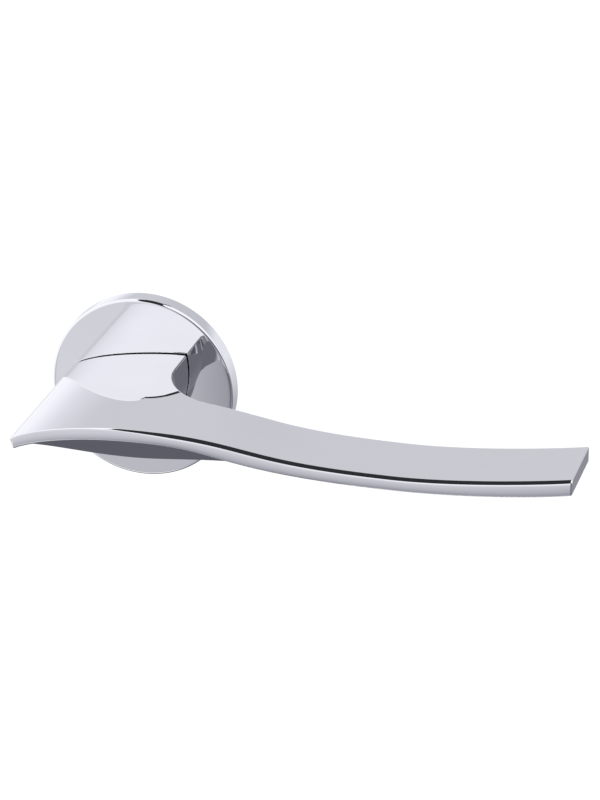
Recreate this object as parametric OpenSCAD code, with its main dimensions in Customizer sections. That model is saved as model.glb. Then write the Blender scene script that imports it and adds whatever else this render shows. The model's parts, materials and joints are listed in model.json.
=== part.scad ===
// Door lever handle on a round, sprung rose.
// Origin: centre of the rose on the door's face. +X runs along the lever,
// +Y goes into the door and +Z is up, so the handle's front looks along -Y.

/* [Lever] */
// Reach of the blade from the spindle's axis to its free end
reach = 131; // [109:0.5:160]
// Overhang of the blade past the spindle's axis on the other side
heel = 19.5; // [17:0.1:24]
// Distance from the door's face to the blade's front
projection = 60; // [50:0.5:72]
// Depth of the blade, front to back
blade_depth = 23; // [19:0.5:28]
// Height of the blade's top at its heel
heel_z = 5.2; // [4.8:0.1:6.2]
// Height of the wave's crest
crest_z = 11.35; // [10.5:0.05:13]
// Distance from the spindle's axis to the crest
crest_x = 11; // [9:0.5:14]
// Height of the wave's trough
trough_z = 6; // [4:0.1:8]
// Distance from the spindle's axis to the trough
trough_x = 84.5; // [75:0.5:92]
// Height of the blade's top at its free end
tip_z = 10.5; // [7:0.1:14]
// Thickness of the blade at its heel and crest
blade_t = 3.4; // [2.8:0.1:4]
// Thickness of the blade at its trough
trough_t = 3.6; // [3:0.1:4.2]
// Thickness of the blade at its free end
tip_t = 4.1; // [3:0.1:5]

/* [Neck] */
// Half width of the neck on the blade's side, at its widest
neck_side = 13.8; // [13:0.1:16]
// Depth of the neck below the spindle's axis
neck_drop = 10; // [9.5:0.1:12]
// Tilt of the flat that clears the neck's lower corner on the blade's side
corner_tilt = 61; // [60:1:68]
// Gap between the neck and the rose
neck_gap = 0.8; // [0.5:0.05:1.5]
// Lowest point of the rib under the blade
rib_z = 1.3; // [0:0.1:2.5]
// Reach of the rib under the blade
rib_x = 47; // [40:0.5:55]
// Length of the round notch between the blade and the neck
notch_w = 22; // [18:0.5:28]
// Depth of that notch along the neck
notch_d = 16; // [12:0.5:20]

/* [Journal] */
// Wall of the journal over the corners of the spindle's hole
journal_wall = 1.8; // [1.4:0.05:2.4]
// Length of the journal behind the door's face
journal_tail = 3; // [2.6:0.1:5]
// Depth of each driving flat on the journal
flat_depth = 0.9; // [0.6:0.05:1.1]
// Depth of the groove for the retaining ring
groove_depth = 0.55; // [0.4:0.05:0.8]
// Radial running clearance of the journal
run_gap = 0.05; // [0.03:0.01:0.1]

/* [Spindle] */
// Width across the flats of the square spindle
spindle_af = 8; // [6.7:0.1:9.6]
// Gap on each side of the spindle in its square hole
spindle_gap = 0.05; // [0.03:0.01:0.1]
// Distance from the blade's front to the spindle's inner end
spindle_stop = 26; // [22:0.5:32]
// Length of the spindle behind the door's face
spindle_out = 35; // [20:0.5:60]
// Distance from the door's face to the grub screw
grub_y = 14; // [12:0.5:18]
// Diameter of the grub screw
grub_d = 6; // [5:0.5:7]
// Width across the flats of the grub screw's socket
grub_key = 3; // [2:0.5:3.5]
// Depth of the grub screw's socket
grub_key_depth = 3; // [2:0.5:4]

/* [Rose] */
// Outer diameter of the rose
rose_d = 52; // [50:0.5:64]
// Height of the rose from the door's face
rose_t = 5.4; // [4.6:0.1:8]
// Sheet thickness of the cover
cover_wall = 0.9; // [0.7:0.05:1.1]
// Radius of the cover's outer edge
cover_edge_r = 0.8; // [0.4:0.1:1.2]
// Clearance between the cover and the base
cover_gap = 0.1; // [0.05:0.01:0.2]
// Width of the slot that lets a tool lift the cover
pry_slot_w = 8; // [5:0.5:12]
// Height of the slot that lets a tool lift the cover
pry_slot_h = 1.2; // [0.8:0.1:1.4]
// Thickness of the round grip ring in the cover
grip_d = 1.2; // [0.8:0.1:1.4]

/* [Bushes] */
// Wall of the front bush
bush_wall = 1.1; // [0.8:0.05:1.4]
// Overhang of the front bush's flange
flange_lap = 0.4; // [0.2:0.05:0.8]
// Thickness of that flange
flange_t = 0.8; // [0.5:0.05:0.85]
// Gap between the flange and the cover's hole
hole_gap = 0.15; // [0.1:0.01:0.3]
// Wall of the collar in the back plate
collar_wall = 0.8; // [0.5:0.05:1.1]

/* [Base] */
// Thickness of the base's front wall
base_wall = 1.2; // [1:0.05:1.5]
// Wall of the base's boss around the front bush
boss_wall = 1.1; // [0.8:0.05:1.4]
// Wall between the spring chamber and a lug
lug_skin = 0.1; // [0.05:0.05:0.4]
// Thickness of the back plate
plate_t = 0.9; // [0.7:0.05:1.1]
// Distance from a lug's centre to the level of the plate's edge
plate_lap = 1.5; // [1:0.1:1.7]

/* [Fixing] */
// Distance between the centres of the two fixing lugs
lug_centres = 38; // [36.5:0.1:39.5]
// Core diameter of the thread in a lug
thread_core_d = 3.3; // [2.8:0.1:4]
// Wall of the threaded insert
insert_wall = 0.95; // [0.7:0.05:1.1]
// Wall of the lug around its insert
lug_wall = 0.8; // [0.5:0.05:1]
// Length of a fixing lug behind the door's face
lug_out = 6; // [4:0.5:12]
// Diameter of a plate screw
screw_d = 2; // [1.6:0.1:2.4]
// Diameter of a plate screw's head
screw_head_d = 3.8; // [3.2:0.1:4]

/* [Spring] */
// Number of turns of the spiral strip
strip_turns = 2; // [1:1:3]
// Share of the spiral's pitch that the strip fills
strip_fill = 0.6; // [0.4:0.05:0.75]
// Diameter of a stop pin
pin_d = 1.3; // [1:0.1:1.5]
// Angle through which the lever turns
swing = 45; // [30:1:55]
// Angle of the driving arm at rest, measured from the blade's side
arm_rest = 112; // [106:1:120]

/* [Hidden] */

$fn = 96;
fine_fn = 180;
curve_steps = 14;
edge_steps = 10;

// Length by which a cut runs past the face it opens
over = 0.5;
// Gap between two pieces that lie against each other
seat_gap = 0.05;
// Gap beside a piece that is dropped into a wider recess
fit_gap = 0.15;

// Places along the door's normal, front to back
front_y = -projection;
blade_back_y = front_y + blade_depth;
foot_y = -rose_t - neck_gap;
cover_face_y = -rose_t + cover_wall;
base_front_y = cover_face_y + seat_gap;
flange_front_y = base_front_y - flange_t;
chamber_front_y = base_front_y + base_wall;
plate_front_y = -plate_t - seat_gap;
chamber_depth = plate_front_y - chamber_front_y;
disc_t = chamber_depth / 2;
disc_y = plate_front_y - seat_gap - disc_t;
boss_back_y = disc_y - 2 * seat_gap;

// Radii from the spindle outwards: journal, front bush and boss
spindle_hole_af = spindle_af + 2 * spindle_gap;
spindle_inner_y = front_y + spindle_stop;
journal_r = spindle_hole_af / sqrt(2) + journal_wall;
journal_half_af = journal_r - flat_depth;
groove_r = journal_r - groove_depth;
bore_r = journal_r + run_gap;
bush_r = bore_r + bush_wall;
flange_r = bush_r + flange_lap;
cover_hole_r = flange_r + hole_gap;
collar_r = bore_r + collar_wall;
boss_r = bush_r + boss_wall;

// Driving arm and stop pins, which pass between the boss and the arm's end
pin_r = pin_d / 2;
pin_path_r = boss_r + 2 * fit_gap + pin_r;
arm_r = pin_path_r + pin_r + fit_gap;
arm_half_w = 2;
arm_kerf_gap = 0.1;
stop_gap = 0.06;
pin_offset = asin((arm_half_w + pin_r + stop_gap) / pin_path_r);
stop_angles = [arm_rest + pin_offset, arm_rest - swing - pin_offset];

// Lugs and the inserts in them
insert_d = thread_core_d + 2 * insert_wall;
lug_d = insert_d + 2 * lug_wall;
// Step at a lug's root, where it passes through the plate
root_step = 0.25;
root_r = lug_d / 2 + root_step;
insert_floor = 1.45;
insert_front_y = base_front_y + insert_floor;
lug_path_r = lug_centres / 2;
lug_sides = [-1, 1];

// Spring chamber, filled by the spiral from the arm's end to the lugs
chamber_r = lug_path_r - lug_d / 2 - lug_skin;
strip_in_r = arm_r + fit_gap;
strip_room = chamber_r - 2 * fit_gap - strip_in_r;
strip_pitch = strip_room / (strip_turns + strip_fill);
strip_t = strip_fill * strip_pitch;
strip_r0 = strip_in_r + strip_t / 2;
strip_gap = 0.2;
strip_y = chamber_front_y + strip_gap;
strip_w = chamber_depth - 2 * strip_gap;
strip_start_r = boss_r + fit_gap;
strip_end_r = strip_r0 + strip_turns * strip_pitch;
tab_length = 2;
tab_gap = 0.1;

// Back plate and its screws
plate_r = lug_path_r + plate_lap;
plate_back_y = -0.03;
screw_path_r = (chamber_r + plate_r) / 2;
screw_angles = [28, 152, 208, 332];
screw_floor = 1.25;
screw_end_y = base_front_y + screw_floor;
screw_slot_w = 0.5;
screw_slot_depth = 0.4;
screw_gap = 0.05;

// Cover, base and the grip ring between them
rose_r = rose_d / 2;
cover_in_r = rose_r - cover_wall;
cover_in_edge_r = max(cover_edge_r - cover_wall, 0.05);
base_r = cover_in_r - cover_gap;
grip_y = (base_front_y + plate_front_y) / 2;
grip_room = 0.1;

// Axial stack behind the door's face
disc_spring_t = 0.8;
disc_spring_sheet = 0.45;
ring_t = 1;
ring_y = disc_spring_t + seat_gap;
ring_r = journal_r + 1.8;
ring_eye_r = 1.4;
ring_eye_hole_r = 0.6;
ring_eye_angle = 34;
ring_eye_path_r = ring_r - 0.25;
disc_spring_r = ring_r + 0.8;

// Neck's section, seen from the front
neck_left = -heel + 0.1;
neck_left_z = heel_z - 0.4;
neck_lean = 0.7;
neck_side_x = neck_side - neck_lean;
neck_low_x = 3;

// Neck's underside, seen from the side
neck_rise_y = front_y + 10.5;
neck_flat_y = neck_rise_y + 24.5;

// Rib under the blade: it starts just behind the blade's front
rib_front_y = front_y + 0.7;
rib_flank = 6.3;
rib_floor_z = -2;

// Height of the grub screw's inner end, against the spindle
grub_top_z = -spindle_af / 2 - 0.01;
grub_sink = 0.3;

// Point on a cubic curve with ends a, d and handles b, c
function curve_point(a, b, c, d, t) =
    pow(1 - t, 3) * a + 3 * pow(1 - t, 2) * t * b
    + 3 * (1 - t) * pow(t, 2) * c + pow(t, 3) * d;

// Points along a cubic curve, without its last end
function curve(a, b, c, d) =
    [for (i = [0 : curve_steps - 1]) curve_point(a, b, c, d, i / curve_steps)];

// Points of a quarter turn around c, from straight down to the right
function quarter(c, r) =
    [for (i = [0 : edge_steps]) c + r * [sin(90 * i / edge_steps), -cos(90 * i / edge_steps)]];

// Turned piece: its own Z axis becomes the door's normal
module turned(y = 0) {
    translate([0, y, 0])
        rotate([-90, 0, 0])
            children();
}

// Round bar or disc along the door's normal, from y0 to y1
module bar(r, y0, y1) {
    turned(y0)
        cylinder(r = r, h = y1 - y0);
}

// Ring along the door's normal, from y0 to y1
module ring(r_in, r_out, y0, y1) {
    difference() {
        bar(r_out, y0, y1);
        bar(r_in, y0 - over, y1 + over);
    }
}

// Bar of square section along the door's normal
module square_bar(af, y0, y1) {
    translate([-af / 2, y0, -af / 2])
        cube([af, y1 - y0, af]);
}

// Outline in X and Z, pushed along the door's normal from y0 to y1
module along_door_normal(y0, y1) {
    translate([0, y1, 0])
        rotate([90, 0, 0])
            linear_extrude(height = y1 - y0)
                children();
}

// Side view in Y and Z, pushed across the lever from x0 to x1
module across(x0, x1) {
    translate([x0, 0, 0])
        rotate([90, 0, 90])
            linear_extrude(height = x1 - x0)
                children();
}

// Moves a piece to a point on a circle, its angle measured from +X to +Z
module at_angle(a, r) {
    translate([r * cos(a), 0, r * sin(a)])
        children();
}

// Both places of the fixing lugs
module at_lugs() {
    for (side = lug_sides)
        translate([0, 0, side * lug_path_r])
            children();
}

// All places of the plate's screws
module at_screws() {
    for (a = screw_angles)
        at_angle(a, screw_path_r)
            children();
}

// Turns a piece drawn along +X round to the driving arm's direction at rest
module on_arm() {
    rotate([0, -arm_rest, 0])
        children();
}

// ---- Lever ----

// Band of the blade seen from the front: a long wave of nearly even thickness.
// Each corner has a handle that says how far its curve runs on before it bends.
module blade_outline() {
    heel_top = [-heel, heel_z];
    crest_top = [crest_x, crest_z];
    trough_top = [trough_x, trough_z];
    tip_top = [reach, tip_z];
    tip_low = [reach, tip_z - tip_t];
    trough_low = [trough_x, trough_z - trough_t];
    crest_low = [crest_x + 9, crest_z - blade_t];
    heel_low = [-heel + 1, heel_z - 3];
    polygon(concat(
        curve(heel_top, heel_top + [6.5, 4.6], crest_top - [4, 0], crest_top),
        curve(crest_top, crest_top + [37, 0], trough_top - [44, 0], trough_top),
        curve(trough_top, trough_top + [19, 0], tip_top - [1.5, 0.4], tip_top),
        [tip_top],
        curve(tip_low, tip_low - [7.5, 1.6], trough_low + [19, 0], trough_low),
        curve(trough_low, trough_low - [45, 0], crest_low + [18, 0], crest_low),
        curve(crest_low, crest_low - [25, 0], heel_low + [0.1, 0.8], heel_low),
        [heel_low]
    ));
}

// Neck under the blade's wave, seen from the front: a bulged side and a full belly
module neck_outline() {
    left = [neck_left, neck_left_z];
    top = [neck_side_x, crest_z];
    side = [neck_side_x - 0.1, -0.5];
    low = [neck_low_x, -neck_drop];
    polygon(concat(
        [left, [0, crest_z - 2]],
        curve(top, top + [0.9, -3.8], side + [0.9, 4.5], side),
        curve(side, side - [0.6, 6], low + [6, 0], low),
        curve(low, low - [9, 0], left + [6.6, -8.4], left)
    ));
}

// Side view of the room the neck fills: its underside rises towards the blade
module neck_side_view() {
    top_z = crest_z + over;
    polygon([
        [foot_y, top_z], [neck_rise_y, top_z], [neck_rise_y, 0],
        [neck_flat_y, -neck_drop], [neck_flat_y, -neck_drop - over], [foot_y, -neck_drop - over]
    ]);
}

// Wedge off the neck's lower corner, seen along its own tilt: it rises towards the notch
module corner_wedge() {
    height = cos(corner_tilt);
    notch_y = blade_back_y + notch_d + 0.8;
    top = [notch_y, 10.5 * height];
    foot = [foot_y, -2.9 * height];
    translate([neck_side - 0.2, 0, 0])
        rotate([0, -corner_tilt, 0])
            across(-4 * neck_side, 2 * neck_side)
                polygon(concat(
                    [[front_y, -3 * neck_side], [front_y, top[1]]],
                    curve(top, [notch_y + 0.9, 5.5 * height], [notch_y + 4.7, -2.4 * height], foot),
                    [foot, [foot_y + over, foot[1]], [foot_y + over, -3 * neck_side]]
                ));
}

// Rib under the blade seen from the front, closed inside the blade
module rib_outline() {
    start = [-heel + 1.2, heel_z - 2.9];
    low = [crest_x - 1, rib_z];
    end = [rib_x, crest_z - 7];
    polygon(concat(
        curve(start, start + [10, 0.7], low - [12, 0], low),
        curve(low, low + [12, 0], end - [20, 0.8], end),
        [end, [crest_x + 14, crest_z - 1.2], [crest_x - 11, crest_z - 2]]
    ));
}

// Side view of the room the rib fills: a steep flank behind the blade's front
module rib_side_view() {
    back_y = blade_back_y + over;
    polygon([
        [rib_front_y, crest_z - blade_t], [rib_front_y + rib_flank, rib_floor_z],
        [back_y, rib_floor_z], [back_y, crest_z - 1], [rib_front_y, crest_z - 1]
    ]);
}

// Blade seen from above, with the round notch that runs into the neck's side
module plan_outline() {
    left_x = -heel - over;
    notch_a = [neck_side_x, blade_back_y + notch_d];
    notch_b = [neck_side_x + notch_w, blade_back_y + 0.4];
    notch_end = [neck_side_x + notch_w + 18, blade_back_y];
    polygon(concat(
        [[left_x, front_y], [reach, front_y], [reach, blade_back_y], notch_end],
        curve(notch_b, notch_b + [-15, 1], notch_a + [0.3, -9], notch_a),
        [notch_a, [neck_side_x, foot_y], [left_x, foot_y]]
    ));
}

module blade() {
    along_door_normal(front_y, foot_y)
        blade_outline();
}

module rib() {
    intersection() {
        along_door_normal(rib_front_y, blade_back_y + over)
            rib_outline();
        across(-heel, rib_x)
            rib_side_view();
    }
}

module neck() {
    difference() {
        intersection() {
            along_door_normal(front_y, foot_y)
                neck_outline();
            across(-heel, neck_side)
                neck_side_view();
        }
        corner_wedge();
    }
}

// Round bearing with two driving flats and the groove of the retaining ring
module journal() {
    root = 1;
    flat_y = disc_y - seat_gap;
    difference() {
        bar(journal_r, foot_y - root, journal_tail);
        for (turn = [0, 180])
            rotate([0, turn, 0])
                translate([journal_half_af, flat_y, -journal_r])
                    cube([journal_r, journal_tail - flat_y + over, 2 * journal_r]);
        ring(groove_r, journal_r + over, ring_y, ring_y + ring_t + 2 * seat_gap);
    }
}

module lever() {
    spindle_hole_end = 1;
    color("gainsboro")
        difference() {
            union() {
                intersection() {
                    translate([0, 0, -neck_drop])
                        linear_extrude(height = neck_drop + 2 * crest_z)
                            plan_outline();
                    union() {
                        blade();
                        rib();
                    }
                }
                neck();
                journal();
            }
            square_bar(spindle_hole_af, spindle_inner_y - spindle_hole_end, journal_tail + over);
            translate([0, -grub_y, -neck_drop - over])
                cylinder(d = grub_d, h = neck_drop + over);
        }
}

// ---- Pieces that turn with the lever ----

// Screw with a hexagon socket that holds the lever on the spindle
module grub_screw() {
    length = neck_drop - grub_sink + grub_top_z;
    color("dimgray")
        translate([0, -grub_y, -neck_drop + grub_sink])
            difference() {
                cylinder(d = grub_d - 2 * run_gap, h = length);
                translate([0, 0, -over])
                    cylinder(d = grub_key / cos(30), h = grub_key_depth + over, $fn = 6);
            }
}

// Square bar with its corners turned down a little
module spindle() {
    corner_r = 0.68 * spindle_af;
    color("silver")
        intersection() {
            square_bar(spindle_af, spindle_inner_y, spindle_out);
            bar(corner_r, spindle_inner_y, spindle_out);
        }
}

// Disc keyed on the journal's flats, with the slotted arm that winds the spring
module drive_disc() {
    kerf = strip_t + 2 * arm_kerf_gap;
    half_key = journal_half_af + run_gap;
    cut_t = disc_t + 2 * over;
    color("slategray")
        difference() {
            union() {
                bar(boss_r, disc_y, disc_y + disc_t);
                on_arm()
                    translate([0, disc_y, -arm_half_w])
                        cube([arm_r, disc_t, 2 * arm_half_w]);
            }
            intersection() {
                bar(bore_r, disc_y - over, disc_y - over + cut_t);
                translate([-half_key, disc_y - over, -bore_r])
                    cube([2 * half_key, cut_t, 2 * bore_r]);
            }
            on_arm()
                translate([boss_r, disc_y - over, -kerf / 2])
                    cube([arm_r, cut_t, kerf]);
        }
}

// Conical washer that takes up the lever's end play
module disc_spring() {
    inner = journal_r + fit_gap;
    color("lightsteelblue")
        turned()
            rotate_extrude()
                polygon([
                    [inner, disc_spring_t - disc_spring_sheet], [inner, disc_spring_t],
                    [disc_spring_r, disc_spring_sheet], [disc_spring_r, 0]
                ]);
}

// Open ring in the journal's groove, with two eyes for pliers
module retaining_ring() {
    front = ring_y + seat_gap;
    back = front + ring_t;
    inner = groove_r + seat_gap;
    opening = 2 * ring_eye_path_r * sin(ring_eye_angle) - ring_eye_r;
    color("darkslategray")
        difference() {
            union() {
                difference() {
                    bar(ring_r, front, back);
                    translate([-opening / 2, front - over, -2 * ring_r])
                        cube([opening, ring_t + 2 * over, 2 * ring_r]);
                }
                for (a = [-ring_eye_angle, ring_eye_angle])
                    at_angle(a - 90, ring_eye_path_r)
                        bar(ring_eye_r, front, back);
            }
            bar(inner, front - over, back + over);
            for (a = [-ring_eye_angle, ring_eye_angle])
                at_angle(a - 90, ring_eye_path_r)
                    bar(ring_eye_hole_r, front - over, back + over);
        }
}

// ---- Rose ----

// Pressed cup with a rounded edge and a hole for the journal
module rose_cover() {
    edge_centre = [rose_r - cover_edge_r, cover_edge_r - rose_t];
    color("whitesmoke")
        difference() {
            turned()
                rotate_extrude($fn = fine_fn)
                    polygon(concat(
                        [[cover_hole_r, cover_face_y], [cover_hole_r, -rose_t]],
                        quarter(edge_centre, cover_edge_r),
                        [[rose_r, 0], [cover_in_r, 0], [cover_in_r, cover_face_y + cover_in_edge_r]],
                        [[cover_in_r - cover_in_edge_r, cover_face_y]]
                    ));
            translate([-pry_slot_w / 2, -pry_slot_h, -rose_r - over])
                cube([pry_slot_w, pry_slot_h + over, over + cover_wall + cover_gap]);
        }
}

// Cast plate with the bearing boss, the spring chamber and two lugs
module rose_base() {
    grip_half = grip_d / 2 + grip_room;
    color("darkgray")
        difference() {
            union() {
                bar(base_r, base_front_y, 0);
                at_lugs() {
                    bar(lug_d / 2, base_front_y, lug_out);
                    bar(root_r, base_front_y, plate_back_y);
                }
            }
            difference() {
                bar(chamber_r, chamber_front_y, over);
                bar(boss_r, base_front_y, boss_back_y);
            }
            difference() {
                bar(plate_r, plate_front_y, over);
                at_lugs() {
                    bar(root_r, plate_front_y - over, plate_back_y);
                    bar(lug_d / 2, plate_back_y - over, over);
                }
            }
            bar(bush_r, base_front_y - over, boss_back_y + over);
            at_lugs()
                bar(insert_d / 2, insert_front_y, lug_out + over);
            at_screws()
                bar(screw_d / 2, screw_end_y, over);
            for (a = stop_angles)
                at_angle(a, pin_path_r)
                    bar(pin_r, base_front_y - over, chamber_front_y + over);
            ring(base_r - grip_d, base_r + over, grip_y - grip_half, grip_y + grip_half);
            spring_tab(tab_gap);
        }
}

// Flanged nylon bush that carries the journal
module front_bush() {
    color("ivory")
        union() {
            ring(bore_r, bush_r, base_front_y, boss_back_y);
            ring(bore_r, flange_r, flange_front_y, base_front_y);
        }
}

// Nylon washer between the neck and the bush's flange
module glide_ring() {
    color("black")
        ring(bore_r + seat_gap, flange_r, foot_y + seat_gap, flange_front_y - seat_gap / 2);
}

// Round elastic ring that holds the cover on the base
module cover_grip_ring() {
    color("black")
        turned(grip_y)
            rotate_extrude($fn = fine_fn)
                translate([cover_in_r - grip_d / 2, 0])
                    circle(d = grip_d, $fn = 32);
}

// Brass tubes cast into the lugs, each with the thread for a through bolt
module threaded_inserts() {
    color("goldenrod")
        at_lugs()
            ring(thread_core_d / 2, insert_d / 2, insert_front_y, lug_out);
}

// Two pins that stop the driving arm at rest and at full swing
module stop_pins() {
    color("silver")
        for (a = stop_angles)
            at_angle(a, pin_path_r)
                bar(pin_r, base_front_y, disc_y + disc_t);
}

// One half turn of the spiral strip: even ones above the arm's line, odd ones below
module half_turn(k) {
    odd = k % 2;
    step = strip_pitch / 2;
    r = strip_r0 + k * step;
    far = 2 * r;
    translate([odd * step, 0, 0])
        intersection() {
            ring(r - strip_t / 2, r + strip_t / 2, strip_y, strip_y + strip_w);
            translate([-far, strip_y, -odd * far])
                cube([2 * far, strip_w, far]);
        }
}

// Outer tab of the spring, or with a gap the slot that holds it in the base
module spring_tab(gap) {
    on_arm()
        translate([strip_end_r, strip_y - gap, -gap])
            cube([tab_length + gap, strip_w + 2 * gap, strip_t + 2 * gap]);
}

// Flat spiral spring: its inner tab sits in the arm, its outer tab in the base
module return_spring() {
    color("steelblue")
        union() {
            on_arm() {
                for (k = [0 : 2 * strip_turns - 1])
                    half_turn(k);
                translate([strip_start_r, strip_y, -strip_t / 2])
                    cube([strip_r0 - strip_start_r, strip_w, strip_t]);
            }
            spring_tab(0);
        }
}

// Sheet disc that closes the base, open at the lugs
module back_plate() {
    front = plate_front_y + seat_gap / 2;
    color("lightgray")
        difference() {
            bar(plate_r - fit_gap, front, plate_back_y);
            bar(collar_r, front - over, over);
            at_lugs()
                bar(root_r + fit_gap, front - over, over);
            at_screws()
                plate_screw_shape(screw_gap);
        }
}

// Nylon collar in the plate's hole
module plate_bush() {
    color("ivory")
        ring(bore_r, collar_r, plate_front_y + seat_gap / 2, plate_back_y);
}

// Countersunk screw along the door's normal, its head level with the plate's back
module plate_screw_shape(gap) {
    head_back_y = 2 * plate_back_y;
    head_front_y = head_back_y - plate_t;
    turned(head_front_y)
        cylinder(r1 = screw_d / 2 + gap, r2 = screw_head_d / 2 + gap, h = plate_t);
    bar(screw_d / 2 + gap, screw_end_y, head_front_y + seat_gap);
}

// Four slotted screws that hold the plate on the base
module plate_screws() {
    color("gray")
        at_screws()
            difference() {
                plate_screw_shape(0);
                translate([-screw_head_d, -screw_slot_depth, -screw_slot_w / 2])
                    cube([2 * screw_head_d, screw_slot_depth + over, screw_slot_w]);
            }
}

lever();
grub_screw();
spindle();
drive_disc();
disc_spring();
retaining_ring();
rose_cover();
rose_base();
front_bush();
glide_ring();
cover_grip_ring();
threaded_inserts();
stop_pins();
return_spring();
back_plate();
plate_bush();
plate_screws();
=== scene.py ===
# %% [markdown]
# # Door lever handle on a round rose
#
# The frame comes from the CAD: the origin is the rose's centre on the door's face, +X runs along
# the lever, +Y goes into the door and +Z is up. Everything here is in that frame, in metres.

# %%
import json
import math

import bmesh
import bpy
import numpy as np
from mathutils import Matrix, Vector

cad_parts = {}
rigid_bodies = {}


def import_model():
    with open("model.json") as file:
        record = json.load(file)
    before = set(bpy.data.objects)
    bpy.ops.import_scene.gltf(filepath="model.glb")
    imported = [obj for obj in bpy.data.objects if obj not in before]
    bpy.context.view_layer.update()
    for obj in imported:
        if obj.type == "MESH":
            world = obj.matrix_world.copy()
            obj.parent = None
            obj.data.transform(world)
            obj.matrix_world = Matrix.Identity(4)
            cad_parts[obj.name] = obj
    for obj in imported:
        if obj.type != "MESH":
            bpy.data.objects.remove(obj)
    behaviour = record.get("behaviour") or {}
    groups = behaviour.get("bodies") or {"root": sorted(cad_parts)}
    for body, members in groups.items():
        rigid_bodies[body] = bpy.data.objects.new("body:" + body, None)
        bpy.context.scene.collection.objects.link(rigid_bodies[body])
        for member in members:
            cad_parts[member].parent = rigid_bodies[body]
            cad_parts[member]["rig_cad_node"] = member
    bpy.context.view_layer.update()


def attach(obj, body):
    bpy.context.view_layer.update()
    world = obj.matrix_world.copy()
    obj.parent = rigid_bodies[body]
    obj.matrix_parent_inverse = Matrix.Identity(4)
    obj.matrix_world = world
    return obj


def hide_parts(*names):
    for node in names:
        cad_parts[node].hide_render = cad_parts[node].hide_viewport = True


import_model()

# %% [markdown]
# ## Small helpers
#
# Sizes are written in millimetres, as on a drawing, and turned into metres where a mesh is made.
# Colours are written as the hex codes a screen shows, and turned into linear light in one place.

# %%
MM = 0.001


def linear(hex_code):
    """Linear RGBA of an sRGB hex colour such as #C7C8CE."""
    channels = [int(hex_code[i : i + 2], 16) / 255 for i in (1, 3, 5)]
    return (*[c / 12.92 if c <= 0.04045 else ((c + 0.055) / 1.055) ** 2.4 for c in channels], 1.0)


def add(tree, kind, sockets=None, **settings):
    """Adds a node. settings are its own properties; a socket takes a value or a (node, output) link."""
    node = tree.nodes.new(kind)
    for name, value in settings.items():
        setattr(node, name, value)
    for name, value in (sockets or {}).items():
        if isinstance(value, tuple) and isinstance(value[0], bpy.types.Node):
            tree.links.new(value[0].outputs[value[1]], node.inputs[name])
        else:
            node.inputs[name].default_value = value
    return node


def ramp(tree, factor, stops, interpolation="LINEAR"):
    """Colour ramp node from (position, hex colour) stops."""
    node = add(tree, "ShaderNodeValToRGB", {"Fac": factor})
    band = node.color_ramp
    band.interpolation = interpolation
    while len(band.elements) < len(stops):
        band.elements.new(0.5)
    for element, (position, colour) in zip(band.elements, sorted(stops)):
        element.position = position
        element.color = linear(colour)
    return node


# %% [markdown]
# ## Finishes
#
# Each finish is a physical surface with a little real unevenness in it: a polished plating still has
# a faint buffing haze, a casting has its sand-blasted grain, and a bar shows its drawing lines.

# %%
def finish(name, colour, second, metallic, roughness, spread, grain_mm, bump=0.0, stretch=(1, 1, 1)):
    """Procedural finish: noise with a grain in real millimetres drives colour, roughness and relief."""
    material = bpy.data.materials.new(name)
    material.use_nodes = True
    tree = material.node_tree
    tree.nodes.clear()
    place = add(tree, "ShaderNodeTexCoord")
    scaled = add(tree, "ShaderNodeMapping", {"Vector": (place, "Object"),
                 "Scale": tuple(s / (grain_mm * MM) for s in stretch)})
    noise = add(tree, "ShaderNodeTexNoise", {"Vector": (scaled, "Vector"), "Scale": 1.0, "Detail": 3.0})
    tint = ramp(tree, (noise, "Fac"), [(0.3, colour), (0.7, second)])
    rough = add(tree, "ShaderNodeMapRange", {"Value": (noise, "Fac"), "From Min": 0.3, "From Max": 0.7,
                "To Min": roughness, "To Max": roughness + spread})
    shader = add(tree, "ShaderNodeBsdfPrincipled", {"Base Color": (tint, "Color"), "Metallic": metallic,
                 "Roughness": (rough, "Result")})
    if bump:
        relief = add(tree, "ShaderNodeBump", {"Height": (noise, "Fac"), "Strength": 1.0,
                     "Distance": bump * MM})
        tree.links.new(relief.outputs["Normal"], shader.inputs["Normal"])
    add(tree, "ShaderNodeOutputMaterial", {"Surface": (shader, "BSDF")})
    return material


# Polished chrome plate: a neutral mirror with a haze too fine to see as grain
chrome = finish("Polished_chrome_plate", "#F2F2F3", "#F0F0F1", 1.0, 0.008, 0.008, 14.0)
# Zinc-plated drawn bar: bright grey with soft lines along its length
drawn_zinc = finish("Drawn_zinc_plated_steel", "#C4C6C8", "#B4B6BA", 1.0, 0.28, 0.14, 0.6,
                    0.004, (1, 0.04, 1))
# Zinc-plated sheet: flatter and more mottled than the bar
sheet_zinc = finish("Zinc_plated_sheet", "#C9CACA", "#B2B4B8", 1.0, 0.34, 0.16, 2.2, 0.004)
# Sand-blasted zinc casting: dull grey with a fine grain
cast_zinc = finish("Sand_blasted_zinc_casting", "#9C9DA0", "#85868A", 1.0, 0.5, 0.15, 0.35, 0.02)
# Black oxide: nearly black, with an oily sheen
black_oxide = finish("Black_oxide_steel", "#2E2E31", "#232326", 1.0, 0.32, 0.15, 0.8, 0.004)
# Blued spring steel: dark, slightly blue and smooth
blued_steel = finish("Blued_spring_steel", "#666C7A", "#4E5566", 1.0, 0.26, 0.12, 1.5, 0.002)
# Turned brass: warm yellow with turning marks round the tube
turned_brass = finish("Turned_brass", "#D8B56A", "#C29C50", 1.0, 0.22, 0.12, 0.5, 0.003, (1, 6, 1))
# Natural nylon: milky, with a soft sheen and a cloudy tone
natural_nylon = finish("Natural_nylon", "#E6E1D4", "#DAD4C4", 0.0, 0.42, 0.12, 3.0, 0.002)
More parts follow.
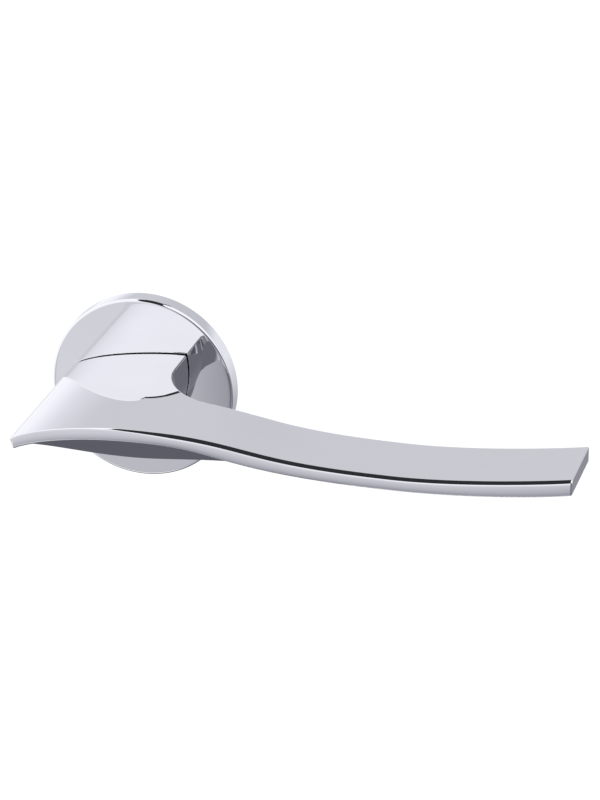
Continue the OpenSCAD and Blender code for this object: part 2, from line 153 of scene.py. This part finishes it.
# Black nylon: the same surface with black pigment
black_nylon = finish("Black_nylon", "#1B1B1D", "#111113", 0.0, 0.46, 0.14, 2.0, 0.002)
# Extruded rubber: black and matt, with a fine skin
ring_rubber = finish("Extruded_rubber", "#1E1E1E", "#131313", 0.0, 0.7, 0.15, 0.8, 0.006)
print("finishes:", len(bpy.data.materials))

# %% [markdown]
# ## Meshes
#
# One function turns millimetre points and faces into an object that rides on its CAD body.

# %%
def piece(name, points, faces, material, body, slot, *cad_nodes):
    """Mesh object from points in mm that stands for CAD nodes and moves with a body."""
    mesh = bpy.data.meshes.new(name)
    mesh.from_pydata((np.asarray(points, float) * MM).tolist(), [], [list(map(int, f)) for f in faces])
    mesh.materials.append(material)
    mesh.update()
    made = bpy.data.objects.new(name, mesh)
    bpy.context.scene.collection.objects.link(made)
    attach(made, body)
    if cad_nodes:
        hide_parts(*cad_nodes)
    return made


# %% [markdown]
# ## The lever's shape
#
# The lever is a casting: its whole form comes from two views. From the front it is a long wave, and from
# above a straight bar with a round notch that runs into the neck. So the shape is written as a field
# of distances: below zero inside the metal, zero on its skin. Flat and curved walls are joined by
# functions that round the edge between them, which is also what polishing does to a casting.

# %%
REACH, HEEL, FRONT, BLADE_BACK, FOOT = 131.0, 19.5, -60.0, -37.0, -6.2
GRUB_Y, GRUB_R, HOLE_HALF, HOLE_END = -14.0, 3.0, 4.05, -35.0
# How much the front is crowned, and how far the crown is followed past its edges
CROWN, CROWN_REACH = 0.09, 1.6
# The notch between blade and neck: its radius, and how the blade thickens towards it
NOTCH_R, SWELL, SWELL_START, SWELL_LENGTH = 14.5, 1.5, 28, 11
# The rib behind the blade's lower edge: where its flank starts and how steeply it falls
RIB_Z, FLANK_SLOPE, FLANK_START = 7.95, 1.58, 0.7
# The neck's underside: distance behind the front, slope, and the slope of its lower corner
NECK_START, RISE_SLOPE, CORNER_X, CORNER_SLOPE = 10.5, 2.45, 13.6, 1.8


def bezier_profile(*curves):
    """Height and slope along X of joined cubic curves, each with its four points."""
    t = np.linspace(0, 1, 800)[:, None]
    path = np.vstack([(1 - t) ** 3 * a + 3 * (1 - t) ** 2 * t * b + 3 * (1 - t) * t**2 * c + t**3 * d
                      for a, b, c, d in (np.array(k, float) for k in curves)])
    path = path[np.argsort(path[:, 0], kind="stable")]
    path = path[np.concatenate([[True], np.diff(path[:, 0]) > 1e-4])]
    slope = np.gradient(path[:, 1], path[:, 0])
    return lambda x: (np.interp(x, path[:, 0], path[:, 1]), np.interp(x, path[:, 0], slope))


wave_top = bezier_profile(
    [(-19.5, 5.2), (-13, 9.8), (7, 11.35), (11, 11.35)],
    [(11, 11.35), (48, 11.35), (40.5, 6), (84.5, 6)],
    [(84.5, 6), (103.5, 6), (129.5, 10.1), (131, 10.5)])
wave_low = bezier_profile(
    [(-18.5, 2.2), (-18.4, 3), (-5, 7.95), (20, 7.95)],
    [(20, 7.95), (38, 7.95), (39.5, 2.4), (84.5, 2.4)],
    [(84.5, 2.4), (103.5, 2.4), (123.5, 4.8), (131, 6.4)])
rib_low = bezier_profile(
    [(-18.3, 2.3), (-8.3, 3), (-2, 1.3), (10, 1.3)],
    [(10, 1.3), (22, 1.3), (27, 3.55), (47, 4.35)],
    [(47, 4.35), (60, 4.6), (70, 5), (131, 7)])
belly_low = bezier_profile(
    [(-19.4, 4.8), (-12.8, -3.6), (-6, -10), (3, -10)],
    [(3, -10), (20, -10), (60, -10), (131, -10)])
corner_low = bezier_profile([(-20.2, 10.5), (-19.3, 5.5), (-15.5, -2.4), (-6.2, -2.9)])
neck_side = bezier_profile(
    [(-12, 12.4), (-9, 12.6), (-6, 12.8), (-0.5, 13.0)],
    [(-0.5, 13.0), (4.0, 13.9), (7.55, 14.0), (11.35, 13.1)],
    [(11.35, 13.1), (11.6, 13.04), (11.8, 13.0), (12, 12.95)])


def both(a, b, r):
    """Inside both walls, with the outer edge between them rounded to radius r."""
    return np.minimum(np.maximum(a, b), -r) + np.hypot(np.maximum(a + r, 0), np.maximum(b + r, 0))


def either(a, b, r):
    """Inside one wall or the other, with the inner corner filled to radius r."""
    return np.maximum(np.minimum(a, b), r) - np.hypot(np.maximum(r - a, 0), np.maximum(r - b, 0))


def above(profile, x, z):
    """Distance below a profile's curve: negative above it."""
    height, slope = profile(x)
    return (height - z) / np.hypot(1, slope)


def lever_field(x, y, z):
    """Distance in mm from the lever's skin, negative inside the metal."""
    # The front's upper edge is crisp round the heel and softer along the blade
    softness = np.clip((x - 1) / 24, 0, 1)
    top = -above(wave_top, x, z)
    low_z, high_z = wave_low(x)[0], wave_top(x)[0]
    middle = 2 * (z - low_z) / (high_z - low_z) - 1
    front = FRONT + CROWN * np.clip(middle, -CROWN_REACH, CROWN_REACH) ** 2 - y
    side = x - neck_side(z)[0]
    back_line = BLADE_BACK + SWELL * np.exp(-(x - SWELL_START) / SWELL_LENGTH)
    plan = either(side, (y - back_line), NOTCH_R)
    flank = (RIB_Z - FLANK_SLOPE * (y - FRONT - FLANK_START) - z) / 1.87
    rib = both(above(rib_low, x, z), flank, 0.8)
    blade = either(above(wave_low, x, z), rib, 0.5)
    belly = both(above(belly_low, x, z), side - 0.6, 9.5)
    rise = (-(y - FRONT - NECK_START) / RISE_SLOPE - z) / 1.08
    corner_z, corner_slope = corner_low(y)
    corner = (corner_z - (CORNER_X - x) * CORNER_SLOPE - z) / np.hypot(2.06, corner_slope)
    neck = both(both(both(belly, rise, 5.0), FRONT + NECK_START - y, 2.0), corner, 1.0)
    under = either(blade, neck, 1.5)
    heel = -(x + HEEL) * 0.949 - (z - 5.2) * 0.316
    shell = both(top, front, 0.2 + 0.9 * softness)
    shell = both(shell, plan, 0.25)
    shell = both(shell, x - REACH, 0.45)
    shell = both(shell, heel, 0.25)
    shell = both(shell, y - FOOT, 0.2)
    metal = both(shell, under, 0.8 - 0.6 * softness)
    square = np.maximum(np.maximum(np.abs(x), np.abs(z)) - HOLE_HALF, HOLE_END - y)
    grub = np.maximum(np.hypot(x, y - GRUB_Y) - GRUB_R, z)
    return both(np.maximum(metal, -square), -grub, 0.25)


# %% [markdown]
# The skin is found on a grid of small boxes: each box that the skin crosses gets one point, and the
# points of neighbouring boxes are joined by quads. Each point is then moved onto the true skin, and
# its normal is measured from the field, so that reflections flow as on real metal.

# %%
def slope_of(field, p, h=0.02):
    """Gradient of a field at points p."""
    steps = np.eye(3) * h
    return np.stack([(field(*(p + s).T) - field(*(p - s).T)) / (2 * h) for s in steps], axis=1)


def marks(*spans):
    """Grid lines along one axis from spans of (start, end, step) in mm."""
    return np.unique(np.concatenate([np.linspace(a, b, max(2, round((b - a) / step) + 1))
                                     for a, b, step in spans]).round(4))


def skin(field, axes):
    """Points, quads and normals of the surface where the field is zero."""
    count = [len(a) for a in axes]
    value = np.stack([field(*np.meshgrid([a], axes[1], axes[2], indexing="ij"))[0] for a in axes[0]])
    weight = np.array([count[1] * count[2], count[2], 1])
    cells, crossings, quads = [], [], []
    for axis in range(3):
        first = np.take(value, range(count[axis] - 1), axis=axis)
        last = np.take(value, range(1, count[axis]), axis=axis)
        start = np.argwhere((first < 0) != (last < 0))
        u, v = [(1, 2), (2, 0), (0, 1)][axis]
        start = start[(start[:, u] > 0) & (start[:, v] > 0)]
        a, b = first[tuple(start.T)], last[tuple(start.T)]
        at = np.stack([axes[i][start[:, i]] for i in range(3)], axis=1)
        at[:, axis] += a / (a - b) * (axes[axis][start[:, axis] + 1] - at[:, axis])
        unit = np.eye(3, dtype=int)
        around = [(start - s) @ weight for s in (unit[u] * 0, unit[u], unit[u] + unit[v], unit[v])]
        quad = np.stack(around, axis=1)
        quad[a >= 0] = quad[a >= 0][:, ::-1]
        quads.append(quad)
        cells.append(quad.ravel())
        crossings.append(np.repeat(at, 4, axis=0))
    quads, cells, crossings = map(np.concatenate, (quads, cells, crossings))
    ids, where = np.unique(cells, return_inverse=True)
    number = np.bincount(where)[:, None]
    points = np.stack([np.bincount(where, crossings[:, i]) for i in range(3)], axis=1) / number
    for _ in range(3):
        g = slope_of(field, points)
        points -= (field(*points.T) / np.maximum((g**2).sum(1), 1e-3))[:, None] * g
    g = slope_of(field, points)
    return points, np.searchsorted(ids, quads), g / np.linalg.norm(g, axis=1, keepdims=True)


grid = [
    marks((-20.1, -17, 0.2), (-17, 12.4, 0.5), (12.4, 14.4, 0.2), (14.4, 130, 0.5), (130, 131.5, 0.15)),
    marks((-60.5, -57.5, 0.15), (-57.5, -20, 0.5), (-20, -7, 0.8), (-7, -5.8, 0.12)),
    marks((-10.6, 1.6, 0.4), (1.6, 12, 0.16)),
]
points, quads, normals = skin(lever_field, grid)
lever = piece("lever_casting", points, quads, chrome, "lever_body", "chrome_lever", "lever")
lever.data.shade_smooth()
lever.data.normals_split_custom_set_from_vertices(normals.tolist())
print("lever casting:", len(points), "points, box in mm", points.min(0).round(2), points.max(0).round(2))

# %% [markdown]
# ## The journal behind the neck
#
# The journal is turned in one piece with the casting, then milled with two flats for the driving disc,
# grooved for the retaining ring and broached square for the spindle.

# %%
def cut(target, *cutters):
    """Takes the cutters' shapes out of the target and removes them."""
    for cutter in cutters:
        modifier = target.modifiers.new("cut", "BOOLEAN")
        modifier.operation, modifier.solver, modifier.object = "DIFFERENCE", "EXACT", cutter
    graph = bpy.context.evaluated_depsgraph_get()
    mesh = bpy.data.meshes.new_from_object(target.evaluated_get(graph), depsgraph=graph)
    target.modifiers.clear()
    target.data = mesh
    for cutter in cutters:
        bpy.data.objects.remove(cutter)


def loose(name, make, matrix=Matrix.Identity(4)):
    """Object from a bmesh maker, its sizes in mm."""
    shape = bmesh.new()
    make(shape)
    bmesh.ops.transform(shape, matrix=Matrix.Scale(MM, 4) @ matrix, verts=shape.verts)
    mesh = bpy.data.meshes.new(name)
    shape.to_mesh(mesh)
    shape.free()
    made = bpy.data.objects.new(name, mesh)
    bpy.context.scene.collection.objects.link(made)
    return made


def block(name, low, high):
    """Box between two corners in mm."""
    low, high = Vector(low), Vector(high)
    place = Matrix.Translation((low + high) / 2) @ Matrix.Diagonal((*(high - low), 1))
    return loose(name, lambda b: bmesh.ops.create_cube(b, size=1.0), place)


def lathe(name, profile, steps, material, body, slot, *cad_nodes):
    """Closed profile of (radius, y) points in mm, turned round the spindle's axis."""
    profile = np.array(profile, float)
    turn = np.linspace(0, 2 * math.pi, steps, endpoint=False)
    rings = [np.stack([r * np.cos(turn), np.full(steps, y), r * np.sin(turn)], axis=1) for r, y in profile]
    n = len(profile)
    faces = [(i * steps + k, i * steps + (k + 1) % steps, (i + 1) % n * steps + (k + 1) % steps,
              (i + 1) % n * steps + k) for i in range(n) for k in range(steps)]
    return piece(name, np.concatenate(rings), faces, material, body, slot, *cad_nodes)


def crisp(made, degrees=30):
    """Smooth shading with sharp edges where faces meet at more than this angle."""
    made.data.shade_smooth()
    made.data.set_sharp_from_angle(angle=math.radians(degrees))


JOURNAL_R, GROOVE_R, FLAT_HALF, TAIL = 7.5276, 6.9776, 6.6276, 3.0
journal = lathe("lever_journal",
                [(4.0, -6.6), (JOURNAL_R, -6.6), (JOURNAL_R, 0.85), (GROOVE_R, 0.85), (GROOVE_R, 1.95),
                 (JOURNAL_R, 1.95), (JOURNAL_R, TAIL - 0.3), (JOURNAL_R - 0.3, TAIL), (4.0, TAIL)],
                128, chrome, "lever_body", "chrome_lever")
cut(journal,
    block("cut_right", (FLAT_HALF, -2.15, -9), (9, 4, 9)),
    block("cut_left", (-9, -2.15, -9), (-FLAT_HALF, 4, 9)),
    block("cut_square", (-HOLE_HALF, -8, -HOLE_HALF), (HOLE_HALF, 4, HOLE_HALF)))
crisp(journal)
print("journal:", len(journal.data.polygons), "faces")

# %% [markdown]
# ## The rose's cover
#
# The cover is a pressed cup with a rounded edge. Its face is nearly flat: it falls back by only a few
# hundredths of a millimetre, so it mirrors the neck without bending it.

# %%
ROSE_R, ROSE_T, WALL, EDGE_R, HOLE_R, DOME = 26.0, 5.4, 0.9, 0.8, 9.2276, 0.04


def dome(r):
    """Front of the cover's face at a radius: it falls back a little towards the edge."""
    return -ROSE_T + DOME * (r / ROSE_R) ** 2


edge = [(ROSE_R - EDGE_R + EDGE_R * math.sin(a), dome(ROSE_R - EDGE_R) + EDGE_R - EDGE_R * math.cos(a))
        for a in np.linspace(0, math.pi / 2, 13)]
outer = [(HOLE_R, dome(HOLE_R) + 0.15), (HOLE_R + 0.15, dome(HOLE_R))]
outer += [(r, dome(r)) for r in np.linspace(HOLE_R + 0.15, ROSE_R - EDGE_R, 24)[1:-1]] + edge
inner = [(ROSE_R, 0), (ROSE_R - WALL, 0), (ROSE_R - WALL, -ROSE_T + WALL), (HOLE_R, -ROSE_T + WALL)]
cover = lathe("rose_cover_pressed", outer + inner, 360, chrome, "root", "chrome_rose", "rose_cover")
cut(cover, block("cut_slot", (-4, -1.2, -27), (4, 0.5, -ROSE_R + 1.0)))
crisp(cover)
print("cover:", len(cover.data.polygons), "faces")

# %% [markdown]
# ## Finishes of the other pieces
#
# These pieces keep their CAD meshes: they are small turned, stamped and moulded parts behind the rose.

# %%
finishes = {
    "grub_screw": black_oxide, "spindle": drawn_zinc, "drive_disc": sheet_zinc,
    "disc_spring": blued_steel, "retaining_ring": black_oxide, "rose_base": cast_zinc,
    "front_bush": natural_nylon, "glide_ring": black_nylon, "cover_grip_ring": ring_rubber,
    "threaded_inserts": turned_brass, "stop_pins": drawn_zinc, "return_spring": blued_steel,
    "back_plate": sheet_zinc, "plate_bush": natural_nylon, "plate_screws": drawn_zinc,
}
nodes = {o["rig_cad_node"]: o for o in bpy.context.scene.objects if "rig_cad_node" in o}
for name, material in finishes.items():
    nodes[name].data.materials.clear()
    nodes[name].data.materials.append(material)
print("CAD pieces with a finish:", len(finishes), "of", len(nodes))

# %% [markdown]
# ## Studio
#
# Polished chrome shows nothing but its surroundings, so the studio is where its looks come from.
# The room is written as tones by direction, front to back over the top, once for the left and once
# for the right. These tones are chosen for the camera's own side of the handle.

# %%
world = bpy.data.worlds.new("Studio")
bpy.context.scene.world = world
world.use_nodes = True
room = world.node_tree
room.nodes.clear()
direction = add(room, "ShaderNodeTexCoord")
axis = add(room, "ShaderNodeSeparateXYZ", {"Vector": (direction, "Generated")})
forward = add(room, "ShaderNodeMath", {0: (axis, "Y"), 1: -1.0}, operation="MULTIPLY")
turn = add(room, "ShaderNodeMath", {0: (axis, "Z"), 1: (forward, "Value")}, operation="ARCTAN2")
turn = add(room, "ShaderNodeMapRange", {"Value": (turn, "Value"), "From Min": -math.pi,
           "From Max": math.pi})


def by_angle(*stops):
    """Ramp over the angle from front (0) over the top (90) to the back (180), and -90 straight down."""
    return ramp(room, (turn, "Result"), [((a + 180) / 360, c) for a, c in stops])


left_room = by_angle(
    (-180, "#FAFAFE"), (-172, "#E0E0E8"), (-155, "#C8C8D0"), (-140, "#5C5C65"),
    (-79, "#5C5C65"), (-74, "#F0F1F8"),
    (-46, "#FAFBFF"), (-39, "#90919A"), (-34, "#92939C"), (-29, "#B0B1B9"), (-22, "#C7C8CE"),
    (-10, "#D6D7DE"), (0, "#DCDDE4"), (14, "#F4F5FC"), (32, "#F6F7FD"), (50, "#FAFBFF"),
    (140, "#FAFBFF"), (150, "#CACBD1"), (160, "#C8C9CF"), (164, "#D7D8E0"), (168, "#E8E9F1"),
    (173, "#F3F4FA"))
right_room = by_angle(
    (-180, "#E6E7EE"), (-170, "#DADBE2"), (-160, "#C8C9CE"), (-150, "#A0A1A8"), (-135, "#5C5C65"),
    (-78, "#5C5C65"), (-62, "#D0D1D9"), (-48, "#6C6C75"), (25, "#6C6C75"), (40, "#B0B1B9"),
    (55, "#FAFBFF"), (140, "#FAFBFF"), (150, "#C0C1C8"), (160, "#BEBFC6"), (168, "#E2E3EA"))
# The two sides blend across the middle, and the far left is white cloth
aside = add(room, "ShaderNodeMapRange", {"Value": (axis, "X"), "From Min": -0.24, "From Max": 0.1},
            interpolation_type="SMOOTHSTEP")
walls = add(room, "ShaderNodeMix", {"Factor": (aside, "Result")}, data_type="RGBA")
room.links.new(left_room.outputs["Color"], walls.inputs[6])
room.links.new(right_room.outputs["Color"], walls.inputs[7])
far_left = add(room, "ShaderNodeMapRange", {"Value": (axis, "X"), "From Min": -0.5, "From Max": -0.7},
               interpolation_type="SMOOTHSTEP")
room_tone = add(room, "ShaderNodeMix", {"Factor": (far_left, "Result")}, data_type="RGBA")
room.links.new(walls.outputs[2], room_tone.inputs[6])
room_tone.inputs[7].default_value = linear("#FAFBFF")
glow = add(room, "ShaderNodeBackground", {"Color": (room_tone, 2), "Strength": 1.124})
add(room, "ShaderNodeOutputWorld", {"Surface": (glow, "Background")})

for side, tones in (("left", left_room), ("right", right_room)):
    print("room tones,", side, "side:", len(tones.color_ramp.elements))

# %% [markdown]
# Cards stand nearer than the room. Three dark flags overhead draw the dark line along the front's
# upper edge; four low cards shade the rose's face and the lever's end. Mirrors see them and the
# camera doesn't, while the floor is seen by the camera alone.

# %%
def card(name, low, high, stops, strength=1.124, seen=False):
    """Lit card between two corners, its tone set along X, in mm. Seen by mirrors or by the camera."""
    paint = bpy.data.materials.new(name + "_paint")
    paint.use_nodes = True
    tree = paint.node_tree
    tree.nodes.clear()
    place = add(tree, "ShaderNodeTexCoord")
    axis = add(tree, "ShaderNodeSeparateXYZ", {"Vector": (place, "Object")})
    first, last = stops[0][0], stops[-1][0]
    across = add(tree, "ShaderNodeMapRange", {"Value": (axis, "X"), "From Min": first * MM,
                 "From Max": last * MM})
    tone = ramp(tree, (across, "Result"), [((x - first) / (last - first), c) for x, c in stops])
    lit = add(tree, "ShaderNodeEmission", {"Color": (tone, "Color"), "Strength": strength})
    add(tree, "ShaderNodeOutputMaterial", {"Surface": (lit, "Emission")})
    made = block(name, low, high)
    made.data.materials.append(paint)
    made.visible_camera, made.visible_glossy = seen, not seen
    made.visible_diffuse = made.visible_transmission = made.visible_shadow = False


card("floor", (-6000, -6000, -705), (6000, 6000, -700), [(-6000, "#FFFFFF"), (6000, "#FEFEFE")],
     1.05, True)
FLAG_Z, FLAG_RIGHT, FLAG_TONE = 450, 34, "#2C2C31"
for name, left, start, end in (("overhead_flag", -150, -260, 720), ("middle_flag", -176, -500, -260),
                               ("forward_flag", -228, -840, -500)):
    card(name, (left, start, FLAG_Z), (FLAG_RIGHT, end, FLAG_Z + 5),
         [(left, FLAG_TONE), (FLAG_RIGHT, FLAG_TONE)])
card("low_card", (-60, -96, -50), (60, -95, -22),
     [(-60, "#D2D3D9"), (-33, "#D0D1D7"), (-20, "#BCBDC4"), (-2, "#9B9CA4"), (15, "#82828B"),
      (38, "#6C6C75"), (60, "#6C6C75")])
card("side_card", (-90, -96, -22), (-34, -95, 8), [(-90, "#D3D4DA"), (-34, "#D0D1D7")])
card("foot_card", (-60, -96, -80), (60, -95, -50), [(-60, "#BBBCC2"), (60, "#B4B5BC")])
card("end_card", (140, 50, -80), (200, 51, 10), [(140, "#8A8A92"), (200, "#8A8A92")])


def soft_lamp(name, place, aim, size, power):
    """Square soft lamp in metres that mirrors don't show."""
    light = bpy.data.lights.new(name, "AREA")
    light.size, light.energy, light.color = size, power, linear("#FFFFFF")[:3]
    lamp = bpy.data.objects.new(name, light)
    lamp.location = place
    lamp.rotation_euler = (Vector(aim) - Vector(place)).to_track_quat("-Z", "Y").to_euler()
    lamp.visible_glossy = False
    bpy.context.scene.collection.objects.link(lamp)


soft_lamp("key", (-0.6, -0.7, 0.8), (0.03, 0, 0), 0.7, 9)
soft_lamp("rim", (0.5, 0.8, 0.5), (0.03, 0, 0), 0.7, 7)

# %% [markdown]
# ## Camera

# %%
sight = bpy.data.cameras.new("camera")
sight.lens, sight.sensor_width, sight.sensor_fit = 162.1, 36.0, "AUTO"
sight.clip_start, sight.clip_end = 0.05, 20
camera = bpy.data.objects.new("camera", sight)
around, up = math.radians(15.06), math.radians(22.71)
back = Vector((math.sin(around) * math.cos(up), -math.cos(around) * math.cos(up), math.sin(up)))
camera.location = (0.2805, -0.8800, 0.3804)
camera.rotation_mode = "QUATERNION"
camera.rotation_quaternion = (-back).to_track_quat("-Z", "Y")
bpy.context.scene.collection.objects.link(camera)
bpy.context.scene.camera = camera
bpy.context.scene.view_settings.view_transform = "Standard"
